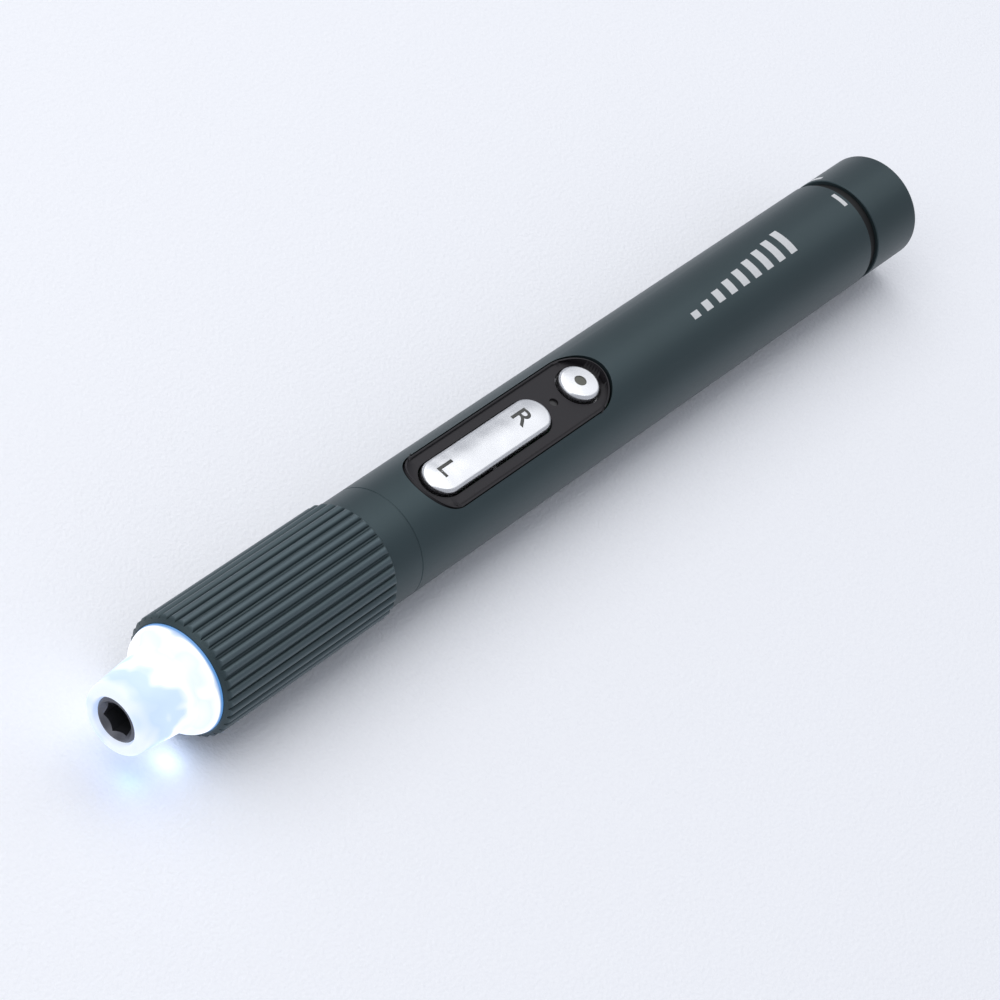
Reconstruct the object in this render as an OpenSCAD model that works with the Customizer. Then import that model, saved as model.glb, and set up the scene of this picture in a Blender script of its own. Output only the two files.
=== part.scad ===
// Pen-type electric torque screwdriver.
// The tool lies along X with its bit socket towards -X and its buttons on top.
// It rests on Z = 0, and X = 0 is the middle of its length.

/* [Barrel] */
// Outer radius of the barrel tube
barrel_r = 8; // [7.9:0.05:8.6]
// Length of the barrel tube, from the grip seam to the lock ring
barrel_len = 102.5; // [101:0.5:112]
// Wall of the barrel tube
barrel_wall = 1; // [0.8:0.05:1.1]
// Small bevel on the edges that meet at the seams
seam_bevel = 0.12; // [0.05:0.01:0.2]

/* [Grip sleeve] */
// Length of the grip sleeve, from the nose to the barrel seam
grip_len = 37.5; // [37:0.5:44]
// Wall of the grip sleeve over the gearbox
grip_wall = 1.1; // [0.9:0.05:1.2]
// Number of ribs round the grip
rib_count = 36; // [30:1:38]
// Height of a rib above the sleeve
rib_h = 0.46; // [0.2:0.02:0.6]
// Radius of the rounded crest of a rib
rib_r = 0.62; // [0.5:0.02:0.62]
// Distance from the front bevel to the sloping ends of the ribs
rib_setback = 0.05; // [0.02:0.01:0.1]
// Length of the smooth collar behind the ribs
collar_len = 5.3; // [3:0.1:8]
// Bevel on the front edge of the sleeve
grip_bevel = 0.34; // [0.2:0.02:0.6]
// Length of the thin neck that plugs into the barrel
grip_neck_len = 3.4; // [2:0.1:4]

/* [Nose light guide] */
// Length of the nose that stands out of the grip
nose_len = 11.4; // [10:0.1:14]
// Radius of the nose at its tip
nose_tip_r = 4.95; // [4.6:0.05:5.2]
// Radius of the nose cone where its flange begins
nose_root_r = 5.75; // [5.3:0.05:6]
// Rounding of the rim at the tip
nose_edge_r = 1; // [0.4:0.05:1.2]
// How far the flange lies inside the surface of the grip
flange_step = 0.5; // [0.4:0.05:0.8]
// Rounding radius of the domed flange
dome_r = 2.76; // [2.2:0.02:3]
// How far the crown of the dome lies behind the front of the grip
dome_lead = 0.2; // [0:0.05:0.3]
// Fillet between the cone and the dome
nose_fillet = 0.4; // [0.2:0.05:0.8]
// Length of the spigot that plugs into the grip
nose_spigot_len = 3.2; // [2:0.1:5]

/* [Nose lamps] */
// Number of lamps round the bit spindle
lamp_count = 6; // [3:1:8]
// Side of one square lamp
lamp_side = 1.2; // [0.8:0.05:1.4]
// Height of one lamp
lamp_h = 0.7; // [0.4:0.05:0.9]
// Thickness of every circuit board
board_t = 0.8; // [0.6:0.1:1]

/* [Bit spindle] */
// Radius of the spindle at its visible end
spindle_r = 3.13; // [3:0.01:3.3]
// Radius of the spindle in its bush
journal_r = 3; // [2.8:0.02:3]
// Width across flats of the bit socket
hex_af = 4; // [3.9:0.05:4.2]
// Depth of the bit socket
hex_depth = 9; // [7:0.5:10]
// Width of the cone that leads a bit into the hex socket
hex_lead = 0.35; // [0.2:0.05:0.4]
// How far the spindle end lies behind the tip of the nose
spindle_inset = 0.4; // [0.2:0.05:1]
// Bevel on the end of the spindle
spindle_bevel = 0.3; // [0.1:0.05:0.5]
// Radius of the bit magnet
magnet_r = 1.7; // [1.2:0.05:1.8]
// Length of the bit magnet
magnet_len = 3; // [2:0.1:4]
// Radius of the spindle stub that carries the output carrier
stub_r = 2.4; // [2:0.05:2.5]

/* [Front bush] */
// Wall of the front bush
bush_wall = 1.4; // [1:0.05:1.5]
// Length of the front bush
bush_len = 4.4; // [3.5:0.1:6]
// Thickness of the spindle clip
clip_t = 0.5; // [0.4:0.05:0.7]
// Outer radius of the spindle clip
clip_r = 3.9; // [3.5:0.05:4.2]
// Depth of the clip groove in the spindle
clip_groove = 0.4; // [0.2:0.05:0.5]

/* [Gearbox] */
// Wall of the gearbox outside the roots of its ring teeth
ring_wall = 1.04; // [0.9:0.02:1.2]
// Teeth of each sun gear
sun_teeth = 12; // [12:12:12]
// Teeth of each planet gear
planet_teeth = 12; // [12:12:12]
// Planets in each stage
planet_count = 3; // [3:1:3]
// Pressure angle of the teeth
pressure_angle = 25; // [25:0.5:26]
// Height of a tooth above the pitch circle, in modules
tooth_height = 0.9; // [0.85:0.01:0.92]
// Depth of a tooth below the pitch circle, in modules
tooth_depth = 1.2; // [1.15:0.01:1.25]
// Total backlash of a pair of gears at the pitch circle
backlash = 0.05; // [0.04:0.01:0.08]
// Face width of the planet gears
planet_len = 3.8; // [3:0.1:4.5]
// Thickness of the carrier discs
carrier_t = 1.7; // [1.2:0.1:2]
// Radius of the planet pins
planet_pin_r = 0.5; // [0.4:0.02:0.6]
// Thickness of the front wall of the gearbox
gearbox_wall_t = 1.7; // [1.2:0.1:2.5]
// Wall of the gearbox round the hollow behind its front wall
gearbox_rim = 1.25; // [1.2:0.05:1.5]
// Wall of the seat that holds the front bush
bush_seat_wall = 0.5; // [0.4:0.05:0.6]
// Radius of the sun gear's stub in the input carrier
sun_stub_r = 1.2; // [1:0.05:1.3]

/* [Motor] */
// Wall of the grip sleeve round the motor, where it plugs into the barrel
neck_wall = 0.6; // [0.5:0.05:0.8]
// Distance from the motor to the button recess
motor_room = 0.7; // [0.5:0.05:1.5]
// Radius of the motor shaft
motor_shaft_r = 0.5; // [0.4:0.02:0.6]
// Depth of the shaft bore in the motor can
shaft_depth = 3; // [2:0.1:5]
// Distance from the boss on the front of the motor to the screw heads
motor_boss_room = 0.3; // [0.2:0.05:0.4]
// Height of the boss on the front of the motor
motor_boss_h = 1; // [0.6:0.05:1.1]
// Thickness of the plate between gearbox and motor
motor_plate_t = 1.4; // [1.2:0.05:1.8]
// Thickness of the end cap of the motor
end_cap_t = 1; // [0.8:0.1:1.2]
// Length of the terminals of the motor
terminal_len = 1; // [0.6:0.1:1.2]
// Width of the terminals of the motor
terminal_w = 1.6; // [1:0.1:2]
// Thickness of the terminals of the motor
terminal_t = 0.3; // [0.2:0.05:0.5]
// Height of the terminals above the main board
terminal_rise = 0.8; // [0.4:0.05:1]
// Distance from the middle to each terminal
terminal_y = 2.6; // [2:0.1:3]
// Distance of the motor screws from the rim of the motor
motor_screw_inset = 1.8; // [1.6:0.05:1.9]
// Radius of the shank of a motor screw
motor_screw_r = 0.7; // [0.5:0.05:0.8]
// Radius of the sunk head of a motor screw
motor_screw_head_r = 1.4; // [1.2:0.05:1.5]
// Height of the sunk head of a motor screw
motor_screw_head_h = 0.7; // [0.5:0.05:0.8]
// Width of the slot in a screw head
slot_w = 0.3; // [0.2:0.05:0.4]
// Depth of a motor screw in the motor
motor_screw_depth = 2; // [1.5:0.1:3]

/* [Button recess] */
// Length of the recess
recess_len = 39.1; // [39:0.1:40]
// Width of the recess
recess_w = 10.06; // [9.9:0.02:10.2]
// Distance from the grip seam to the recess
recess_offset = 4.8; // [4.6:0.1:8]
// Thickness of the panel in the recess
panel_t = 1.2; // [1:0.05:1.3]
// Thickness of the rim at each end of the panel
panel_rim = 0.5; // [0.3:0.05:0.6]
// Side of each leg under the panel
panel_leg = 1.1; // [0.8:0.05:1.2]

/* [Direction rocker] */
// Width of the rocker
rocker_w = 5.66; // [5:0.02:5.8]
// Height of the buttons above the panel
button_rise = 1.13; // [0.9:0.01:1.4]
// Rounding of the button edges
button_edge_r = 0.6; // [0.2:0.05:0.65]
// Angle of the rounding that the button edges keep before their crown
button_edge_deg = 80; // [75:1:80]
// Height of the crown along the rocker
rocker_crown = 0.2; // [0.05:0.05:0.3]
// Distance from the front of the recess to the rocker
rocker_inset = 2.8; // [2.6:0.05:3]
// Tilt of the rocker to each side
rocker_tilt_deg = 2.5; // [1:0.1:2.5]
// Radius of the rocker pin
rocker_pin_r = 0.6; // [0.4:0.02:0.7]
// Length of the rocker pin
rocker_pin_len = 8.6; // [8.2:0.1:9]
// Depth of the pin axis below the panel
pivot_drop = 0.8; // [0.75:0.05:0.9]
// Radius of the boss round the pin
pivot_boss_r = 1.2; // [1:0.05:1.25]
// Distance from each end of the rocker to its plunger
plunger_inset = 4.15; // [3.8:0.05:5]
// Radius of the plungers under the buttons
plunger_r = 0.8; // [0.6:0.05:0.9]

/* [Round button] */
// Radius of the round button
button_r = 2.95; // [2.7:0.01:3]
// Distance from the rear of the recess to the middle of the button
button_inset = 4.4; // [4.3:0.05:4.6]
// Travel of the button
button_travel = 0.35; // [0.2:0.05:0.35]
// Width of the flange that keeps the button in
button_flange_w = 0.55; // [0.4:0.05:0.6]
// Thickness of that flange
button_flange_t = 0.35; // [0.3:0.05:0.4]
// Radius of the lens in the button
button_lens_r = 0.85; // [0.6:0.05:1]
// Depth of the lens in the button
button_lens_depth = 1.2; // [0.8:0.1:1.5]
// How far the lens lies below the top of the button
button_lens_inset = 0.15; // [0.05:0.05:0.3]

/* [Indicator] */
// Radius of the pinhole between the buttons
pinhole_r = 0.65; // [0.5:0.01:0.8]
// Distance from the pinhole to the middle of the round button
pinhole_pitch = 5.25; // [5.1:0.05:5.4]
// Distance from the rocker to the pinhole
pinhole_offset = 2.35; // [2.2:0.05:2.5]
// How far the indicator lens lies below the panel
indicator_inset = 0.3; // [0.1:0.05:0.5]
// Width of the collar on the indicator lens
indicator_collar_w = 0.35; // [0.2:0.05:0.4]
// Height of the collar on the indicator lens
indicator_collar_h = 0.5; // [0.3:0.05:0.8]

/* [Main board] */
// Distance from the panel down to the main board
switch_space = 2.62; // [2.5:0.02:2.9]
// Width of the main board
board_w = 10.4; // [9.6:0.1:11]
// How far the board reaches past the rear end of the recess
board_reach = 3.2; // [2.8:0.1:3.4]
// Side of a tact switch
switch_side = 3; // [2.5:0.1:3.2]
// Height of the body of a tact switch
switch_h = 1.2; // [1:0.05:1.25]
// Height of the plunger of a tact switch
switch_plunger_h = 0.4; // [0.3:0.05:0.42]
// Side of a board chip
chip_side = 3; // [2:0.1:3.2]
// Height of a board chip
chip_h = 0.8; // [0.6:0.05:0.9]
// Length of the status lamp
status_len = 1.6; // [1:0.1:2]
// Height of the status lamp
status_h = 0.6; // [0.4:0.05:0.8]
// Distance from each end of the board to its screw
board_screw_inset = 1.9; // [1.8:0.05:2]
// Radius of the shank of a board screw
board_screw_r = 0.65; // [0.5:0.05:0.7]
// Radius of the head of a board screw
board_screw_head_r = 1.2; // [1:0.05:1.3]
// Height of the head of a board screw
board_screw_head_h = 0.7; // [0.5:0.05:0.9]
// Depth of a board screw in the chassis
board_screw_depth = 3; // [2:0.1:4]

/* [Chassis] */
// Thickness of the chassis under the battery
chassis_floor = 0.8; // [0.6:0.05:1]
// Width of the trough under the main board
trough_w = 7; // [5:0.1:8]
// Depth of the trough under the main board
trough_depth = 4.5; // [2:0.1:5]
// Length of solid chassis at each end of the trough
trough_end = 5; // [4.5:0.1:8]

/* [Battery] */
// Radius of the battery cell
battery_r = 5; // [4.8:0.05:5.1]
// Length of solid chassis behind the battery
chassis_end_t = 3.8; // [2:0.1:5]
// Height of the raised contact on the battery
battery_nub_h = 0.6; // [0.4:0.05:0.8]
// Radius of the raised contact on the battery
battery_nub_r = 1.6; // [1.2:0.05:2]
// Thickness of the battery tabs
tab_t = 0.2; // [0.15:0.05:0.3]
// Width of the battery tabs
tab_w = 3; // [2:0.1:4]

/* [Tail] */
// Length of the tail spigot inside the barrel
spigot_len = 6; // [4:0.1:7]
// Wall of the lock ring round the neck of the tail spigot
lock_ring_wall = 1.1; // [0.9:0.05:1.2]
// How far the neck reaches into the tail cap
neck_reach = 4.1; // [3.9:0.1:4.5]
// Width of the gap between the barrel and the tail cap
lock_ring_space = 1.9; // [1.2:0.05:2.5]
// How far the lock ring lies below the barrel
lock_ring_depth = 0.6; // [0.3:0.05:0.8]
// Length of the dogs that drive the tail cap
dog_len = 1.6; // [1:0.1:1.7]
// Width of the dogs
dog_w = 2; // [1.5:0.1:2.5]
// Height of the dogs
dog_h = 0.6; // [0.4:0.05:0.7]
// Length of the tail cap
cap_len = 10.1; // [9.9:0.1:12]
// How far the tail cap is smaller than the barrel
cap_step = 0.05; // [0:0.01:0.2]
// Thickness of the end of the tail cap
cap_end_t = 1.5; // [1:0.1:1.6]
// Rounding of the rear edge of the tail cap
cap_edge_r = 0.6; // [0.2:0.05:1]
// Thickness of the seal ring's cord
seal_d = 1; // [0.8:0.05:1]
// Depth of the seal groove
seal_depth = 0.8; // [0.75:0.01:0.82]
// Distance from the end of the neck to the seal groove
seal_inset = 0.7; // [0.6:0.05:0.9]

/* [Charge socket] */
// Wall of the neck between the charge socket and the seal groove
socket_side = 0.73; // [0.7:0.01:0.9]
// Height of the charge socket
socket_h = 3.2; // [3:0.02:3.3]
// Length of the charge socket
socket_len = 7.3; // [6:0.1:7.5]
// Wall of the charge socket
socket_wall = 0.3; // [0.25:0.05:0.4]
// Space beside the tongue in the charge socket
tongue_side = 0.82; // [0.7:0.02:1]
// Thickness of the tongue in the charge socket
tongue_t = 0.7; // [0.6:0.05:0.8]
// Width of the charge board
charge_board_w = 7.8; // [7:0.1:8]
// Length of the charge board
charge_board_len = 10.5; // [9:0.1:10.7]
// Thickness of the wall round the socket at the end of the neck
neck_end_t = 1.2; // [1:0.1:1.5]

/* [Clearances] */
// Clearance between pieces that are assembled and stay put
fit_gap = 0.1; // [0.05:0.01:0.12]
// Clearance round a moving piece
run_gap = 0.3; // [0.25:0.01:0.32]
// Radial clearance of a shaft in its bearing
journal_gap = 0.03; // [0.02:0.005:0.06]
// Radial clearance of a pin pressed into a hole
seat_gap = 0.02; // [0.01:0.005:0.03]

/* [Hidden] */
// Facets of round parts: fine on what shows, coarser inside
$fn = 96;
inner_fn = 48;
// Steps of an arc in a turned profile
arc_steps = 8;
// Overlap that makes a cut run past the face it opens
cut = 1;

// Stations along the tool, from the tip of the nose
grip_x = nose_len;
seam_x = grip_x + grip_len;
barrel_end_x = seam_x + barrel_len;
cap_x = barrel_end_x + lock_ring_space;
total_len = cap_x + cap_len;
axis_z = barrel_r + rib_h;
recess_x = seam_x + recess_offset;
recess_end_x = recess_x + recess_len;

// Bores and the radii of what they hold
grip_bore_r = barrel_r - grip_wall;
barrel_bore_r = barrel_r - barrel_wall;
inner_r = grip_bore_r - fit_gap;
chassis_r = barrel_bore_r - fit_gap;

// Nose and lamps
nose_bore_r = spindle_r + run_gap;
flange_r = barrel_r - flange_step;
nose_spigot_end_x = grip_x + nose_spigot_len;
lamp_board_x = nose_spigot_end_x + fit_gap + lamp_h;
gearbox_x = lamp_board_x + board_t;
lamp_ring_r = (nose_bore_r + inner_r) / 2;

// Front bush and spindle clip
bush_bore_r = journal_r + journal_gap;
bush_r = journal_r + journal_gap + bush_wall;
bush_end_x = gearbox_x + bush_len;
clip_x = bush_end_x + fit_gap;

// Gear geometry: the ring teeth fill the gearbox up to its wall, and set the module
ring_teeth = sun_teeth + 2 * planet_teeth;
gear_module = (inner_r - ring_wall) / (ring_teeth / 2 + tooth_depth);
sun_pitch_r = gear_module * sun_teeth / 2;
planet_pitch_r = gear_module * planet_teeth / 2;
ring_pitch_r = gear_module * ring_teeth / 2;
centre_r = sun_pitch_r + planet_pitch_r;
addendum = tooth_height * gear_module;
dedendum = tooth_depth * gear_module;
sun_phase = 180 / sun_teeth;
carrier_r = ring_pitch_r - addendum - run_gap;

// Stations of the two planet stages
output_carrier_x = clip_x + clip_t + run_gap;
output_planet_x = output_carrier_x + carrier_t + run_gap;
output_planet_end_x = output_planet_x + planet_len;
input_carrier_x = output_planet_end_x + 2 * run_gap;
input_planet_x = input_carrier_x + carrier_t + run_gap;
input_planet_end_x = input_planet_x + planet_len;
pin_tail = run_gap / 2;
plate_x = input_planet_end_x + 3 * run_gap;
motor_x = plate_x + motor_plate_t;

// The motor fills the neck of the grip and reaches to the button recess
motor_r = chassis_r - neck_wall - run_gap;
motor_cap_x = recess_x - motor_room - end_cap_t;
terminal_x = motor_cap_x + end_cap_t;
motor_screw_ring_r = motor_r - motor_screw_inset;
motor_boss_r = motor_screw_ring_r - motor_screw_head_r - motor_boss_room;
chassis_x = max(terminal_x, seam_x + grip_neck_len) + fit_gap;

// Button recess: its flat floor meets the barrel's surface along both sides
recess_r = recess_w / 2;
panel_z = sqrt(pow(barrel_r, 2) - pow(recess_r, 2));
panel_under_z = panel_z - panel_t;
button_top_z = panel_z + button_rise;
board_z = panel_under_z - switch_space;
chassis_top_z = board_z - board_t;
switch_top_z = board_z + switch_h + switch_plunger_h;
button_x = recess_end_x - button_inset;
pinhole_x = button_x - pinhole_pitch;
rocker_end_x = pinhole_x - pinhole_offset;
rocker_len = rocker_end_x - recess_x - rocker_inset;
rocker_x = rocker_end_x - rocker_len / 2;
plunger_reach = rocker_len / 2 - plunger_inset;
pivot_z = panel_under_z - pivot_drop;
key_under_z = panel_under_z - run_gap;
tilt_sweep = (plunger_reach + plunger_r) * sin(rocker_tilt_deg);

// Main board and battery
board_x = max(chassis_x, terminal_x + terminal_len) + fit_gap;
board_end_x = recess_end_x + board_reach;
chassis_end_x = barrel_end_x - spigot_len - fit_gap;
battery_x = board_end_x + 2 * tab_t + fit_gap;
pocket_end_x = chassis_end_x - chassis_end_t;
battery_end_x = pocket_end_x - 2 * tab_t - battery_nub_h;
battery_z = -(chassis_r - chassis_floor - fit_gap - battery_r);

// Tail
neck_end_x = cap_x + neck_reach;
lock_ring_r = barrel_r - lock_ring_depth;
lock_bore_r = lock_ring_r - lock_ring_wall;
neck_r = lock_bore_r - run_gap;
cap_r = barrel_r - cap_step;
cap_bore_r = neck_r + run_gap;
dog_r = lock_bore_r + dog_h;
seal_r = seal_d / 2;
seal_groove_r = neck_r - seal_depth;
seal_x = neck_end_x - seal_inset - seal_r;
socket_x = neck_end_x - socket_len;
socket_w = 2 * (seal_groove_r - socket_side);
tongue_w = socket_w - 2 * (socket_wall + tongue_side);
charge_board_end_x = neck_end_x - neck_end_t;
charge_board_x = charge_board_end_x - charge_board_len;
charge_board_top_z = -socket_h / 2;

// Colours
anodised = "#46535a";
dark_plastic = "#3b3a3f";
silver = "#d9dbe0";
steel = "#9a9da3";
black_steel = "#4a4a4e";
brass = "#c9a24a";
board_green = "#1f5c3a";
frosted = "#d6e6ff";

// Places what is drawn along the tool: X from the tip, Z from the tool's axis
module in_tool() {
    translate([-total_len / 2, 0, axis_z]) children();
}

// Turns what is drawn upright so that it lies along X from a station
module along(x) {
    in_tool() translate([x, 0, 0]) rotate([0, 90, 0]) children();
}

// A ring or tube along X
module tube(x, len, r_out, r_in) {
    along(x) difference() {
        cylinder(h = len, r = r_out);
        translate([0, 0, -cut]) cylinder(h = len + 2 * cut, r = r_in);
    }
}

// Spreads copies round the tool's axis
module around(count, phase = 0) {
    for (i = [0 : count - 1])
        rotate([0, 0, phase + i * 360 / count]) children();
}

// An outline with round ends, from x0 to x1
module obround(x0, x1, r) {
    translate([x0 + r, -r]) square([x1 - x0 - 2 * r, 2 * r]);
    translate([x0 + r, 0]) circle(r = r);
    translate([x1 - r, 0]) circle(r = r);
}

// A plate with round ends between two heights
module obround_plate(x0, x1, r, z0, z1) {
    in_tool() translate([0, 0, z0]) linear_extrude(z1 - z0) obround(x0, x1, r);
}

// A box between two corners of the tool
module block(x, y, z) {
    in_tool() translate([x[0], y[0], z[0]]) cube([x[1] - x[0], y[1] - y[0], z[1] - z[0]]);
}

// An upright cylinder between two heights
module post(x, r, z) {
    in_tool() translate([x, 0, z[0]]) cylinder(h = z[1] - z[0], r = r, $fn = inner_fn);
}

// A cylinder across the tool on the axis of the rocker pin
module pivot_bar(len, r) {
    in_tool() translate([rocker_x, 0, pivot_z]) rotate([90, 0, 0])
        cylinder(h = len, r = r, center = true, $fn = inner_fn);
}

// The two ends of a span, from its middle and its size
function span(mid, size) = [mid - size / 2, mid + size / 2];

// Points of an arc
function arc(c, r, a0, a1, n = arc_steps) =
    [for (i = [0 : n]) let (a = a0 + (a1 - a0) * i / n) c + r * [cos(a), sin(a)]];

// Involute teeth: the angle by which an involute has turned at a radius
function involute_deg(base_r, r) =
    let (a = acos(min(1, base_r / r))) tan(a) * 180 / PI - a;

// Half the angle that a tooth fills at a radius
function half_tooth_deg(teeth, r, slack) =
    let (pitch_r = gear_module * teeth / 2, base_r = pitch_r * cos(pressure_angle))
    90 / teeth - slack / pitch_r * 90 / PI + involute_deg(base_r, pitch_r)
    - involute_deg(base_r, max(r, base_r));

// Outline of a gear, with its tip and root radii and the slack taken off each tooth
module gear_outline(teeth, tip_r, root_r, slack) {
    base_r = max(gear_module * teeth / 2 * cos(pressure_angle), root_r);
    flank = [root_r, base_r, (2 * base_r + tip_r) / 3, (base_r + 2 * tip_r) / 3, tip_r];
    last = len(flank) - 1;
    polygon([
        for (t = [0 : teeth - 1], side = [-1, 1], k = [0 : last])
            let (
                r = flank[side < 0 ? k : last - k],
                a = t * 360 / teeth + side * half_tooth_deg(teeth, r, slack)
            )
            r * [cos(a), sin(a)]
    ]);
}

// A pinion or planet: an outside gear with a round bore
module gear(teeth, len, bore_r) {
    pitch_r = gear_module * teeth / 2;
    difference() {
        linear_extrude(len)
            gear_outline(teeth, pitch_r + addendum, pitch_r - dedendum, backlash / 2);
        translate([0, 0, -cut]) cylinder(h = len + 2 * cut, r = bore_r, $fn = inner_fn);
    }
}

// Frosted ring round the bit socket: a cone, a domed flange and a spigot
module nose_light_guide() {
    dome_c = [nose_len + dome_lead, flange_r - dome_r];
    fillet_r = nose_root_r + nose_fillet;
    fillet_x = dome_c[0] - sqrt(pow(dome_r + nose_fillet, 2) - pow(fillet_r - dome_c[1], 2));
    touch_deg = atan2(fillet_r - dome_c[1], fillet_x - dome_c[0]);
    flange_deg = acos(-dome_lead / dome_r);
    outline = concat(
        [[0, nose_bore_r + seam_bevel]],
        arc([nose_edge_r, nose_tip_r - nose_edge_r], nose_edge_r, 180, 90),
        arc([fillet_x, fillet_r], nose_fillet, 270, 180 + touch_deg),
        arc(dome_c, dome_r, touch_deg, flange_deg),
        [
            [nose_len, inner_r], [nose_spigot_end_x, inner_r],
            [nose_spigot_end_x, nose_bore_r], [seam_bevel, nose_bore_r]
        ]
    );
    color(frosted) along(0) rotate_extrude() polygon([for (p = outline) [p[1], p[0]]]);
}

// Square lamps on the ring board, behind the nose spigot
module nose_lamps() {
    color("white") along(lamp_board_x - lamp_h) around(lamp_count)
        translate([lamp_ring_r, 0, lamp_h / 2]) cube([lamp_side, lamp_side, lamp_h], center = true);
}

module lamp_board() {
    color(board_green) tube(lamp_board_x, board_t, inner_r, journal_r + 2 * run_gap);
}

// Anodised sleeve: round ribs with sloping ends over the gearbox, and a neck for the barrel
module grip_sleeve() {
    front_r = barrel_r - grip_bevel;
    over_r = axis_z + fit_gap;
    slope_end = grip_len - collar_len + grip_bevel;
    color(anodised) difference() {
        union() {
            along(grip_x) rotate_extrude() polygon([
                [0, 0], [front_r, 0], [barrel_r, grip_bevel],
                [barrel_r, grip_len - seam_bevel], [barrel_r - seam_bevel, grip_len],
                [chassis_r, grip_len], [chassis_r, grip_len + grip_neck_len],
                [0, grip_len + grip_neck_len]
            ]);
            along(grip_x) intersection() {
                linear_extrude(grip_len) around(rib_count)
                    translate([axis_z - rib_r, 0]) circle(r = rib_r, $fn = inner_fn);
                rotate_extrude() polygon([
                    [0, rib_setback], [front_r, rib_setback],
                    [over_r, rib_setback + over_r - front_r], [over_r, slope_end - over_r + front_r],
                    [front_r, slope_end], [0, slope_end]
                ]);
            }
        }
        along(grip_x - cut) cylinder(h = motor_x - grip_x + cut, r = grip_bore_r);
        along(motor_x - cut) cylinder(h = seam_x + grip_neck_len - motor_x + 2 * cut, r = motor_r + run_gap);
    }
}

module front_bush() {
    color(brass) tube(gearbox_x, bush_len, bush_r, bush_bore_r);
}

// Steel spindle with the hex bit socket, a clip groove and a stub for the carrier
module bit_spindle() {
    shoulder_x = gearbox_x - fit_gap;
    groove_r = journal_r - clip_groove;
    clip_end_x = clip_x + clip_t + fit_gap / 2;
    hex_r = hex_af / 2 / cos(30);
    color(black_steel) difference() {
        along(0) rotate_extrude() polygon([
            [0, spindle_inset], [spindle_r - spindle_bevel, spindle_inset],
            [spindle_r, spindle_inset + spindle_bevel], [spindle_r, shoulder_x],
            [journal_r, shoulder_x], [journal_r, clip_x - fit_gap / 2],
            [groove_r, clip_x - fit_gap / 2], [groove_r, clip_end_x],
            [journal_r, clip_end_x], [journal_r, output_carrier_x],
            [stub_r, output_carrier_x], [stub_r, output_carrier_x + carrier_t],
            [0, output_carrier_x + carrier_t]
        ]);
        along(spindle_inset - cut) cylinder(h = hex_depth + cut, r = hex_r, $fn = 6);
        along(spindle_inset - cut) cylinder(
            h = 3 * hex_lead + cut, r1 = hex_r + hex_lead + cut, r2 = hex_r - 2 * hex_lead
        );
        along(spindle_inset + hex_depth - cut) cylinder(h = magnet_len + cut, r = magnet_r + seat_gap);
    }
}

module bit_magnet() {
    color(steel) along(spindle_inset + hex_depth) cylinder(h = magnet_len, r = magnet_r);
}

// Open spring clip in the groove behind the bush
module spindle_clip() {
    color(steel) difference() {
        tube(clip_x, clip_t, clip_r, journal_r - clip_groove + seat_gap);
        block([clip_x - cut, clip_x + clip_t + cut], span(0, journal_r), [0, 2 * clip_r]);
    }
}

// Broached ring gear that houses both planet stages
module gearbox_housing() {
    teeth_x = bush_end_x;
    color(steel) difference() {
        along(gearbox_x) cylinder(h = plate_x - gearbox_x, r = inner_r);
        along(gearbox_x - cut) cylinder(h = bush_len + fit_gap + cut, r = bush_r + seat_gap);
        along(gearbox_x + gearbox_wall_t) difference() {
            cylinder(h = teeth_x - gearbox_x - gearbox_wall_t, r = inner_r - gearbox_rim);
            translate([0, 0, -cut])
                cylinder(h = teeth_x - gearbox_x, r = bush_r + bush_seat_wall);
        }
        along(teeth_x) linear_extrude(plate_x - teeth_x + cut)
            gear_outline(ring_teeth, ring_pitch_r + dedendum, ring_pitch_r - addendum, -backlash / 2);
    }
}

// Disc that carries three planet pins behind it
module carrier(x, bore_r) {
    along(x) difference() {
        cylinder(h = carrier_t, r = carrier_r);
        translate([0, 0, -cut]) cylinder(h = carrier_t + 2 * cut, r = bore_r);
        around(planet_count) translate([centre_r, 0, -cut])
            cylinder(h = carrier_t + 2 * cut, r = planet_pin_r + seat_gap, $fn = inner_fn);
    }
}

// Pins of one stage, from the front of its carrier to just past its planets
module planet_pins(x) {
    along(x) around(planet_count) translate([centre_r, 0, 0])
        cylinder(h = carrier_t + run_gap + planet_len + pin_tail, r = planet_pin_r, $fn = inner_fn);
}

// One planet of a stage, in mesh with the sun and the ring
module planet(x, index) {
    along(x) rotate([0, 0, index * 360 / planet_count]) translate([centre_r, 0, 0])
        gear(planet_teeth, planet_len, planet_pin_r + 2 * journal_gap);
}

module output_carrier() {
    color(steel) carrier(output_carrier_x, stub_r + seat_gap);
}

module output_pins() {
    color(silver) planet_pins(output_carrier_x);
}

module output_planet_1() {
    color(steel) planet(output_planet_x, 0);
}

module output_planet_2() {
    color(steel) planet(output_planet_x, 1);
}

module output_planet_3() {
    color(steel) planet(output_planet_x, 2);
}

module input_carrier() {
    color(steel) carrier(input_carrier_x, sun_stub_r + seat_gap);
}

// Sun gear of the output stage, on a stub in the input carrier
module input_sun() {
    color(silver) union() {
        along(output_planet_x) rotate([0, 0, sun_phase]) linear_extrude(input_carrier_x - output_planet_x)
            gear_outline(sun_teeth, sun_pitch_r + addendum, sun_pitch_r - dedendum, backlash / 2);
        along(input_carrier_x) cylinder(h = carrier_t, r = sun_stub_r);
    }
}

module input_pins() {
    color(silver) planet_pins(input_carrier_x);
}

module input_planet_1() {
    color(steel) planet(input_planet_x, 0);
}

module input_planet_2() {
    color(steel) planet(input_planet_x, 1);
}

module input_planet_3() {
    color(steel) planet(input_planet_x, 2);
}

module motor_pinion() {
    color(brass) along(input_planet_x) rotate([0, 0, sun_phase])
        gear(sun_teeth, planet_len + pin_tail, motor_shaft_r + seat_gap);
}

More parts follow.
